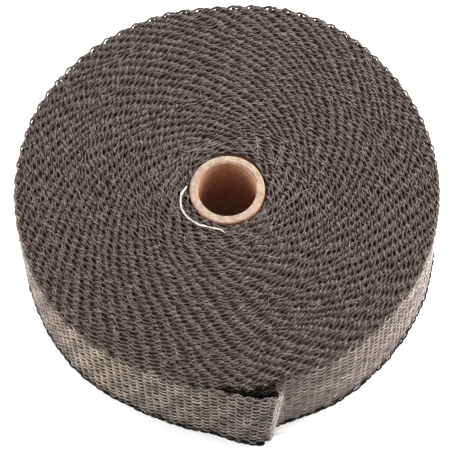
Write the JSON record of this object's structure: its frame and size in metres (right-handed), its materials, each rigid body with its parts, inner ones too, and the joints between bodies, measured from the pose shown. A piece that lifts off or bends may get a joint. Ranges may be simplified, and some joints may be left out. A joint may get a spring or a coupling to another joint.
{
  "type": "exhaust heat wrap roll",
  "caption": "Roll of woven glass-fibre heat wrap tape for exhaust pipes, wound on a cardboard tube, with its free end folded back under itself.",
  "frame": {"origin": "middle of the footprint, on the face the roll lies on; the roll's axis stands 3.58 mm from it along +Y, because the folded tail reaches past the roll on the -Y side", "axes": "+Z along the roll's axis, up; -Y is the side where the folded tail stands off the roll; +X is the way the fold points"},
  "size_m": [0.182, 0.1892, 0.0508],
  "materials": {
    "glass_weave": "coarse plain weave of dark grey-brown glass yarn, dull, with pale broken filaments",
    "cardboard": "spiral-wound brown paper tube with a pale cut edge"
  },
  "bodies": {
    "root": {"wrap_roll": "glass_weave", "cardboard_core": "cardboard"}
  },
  "joints": []
}
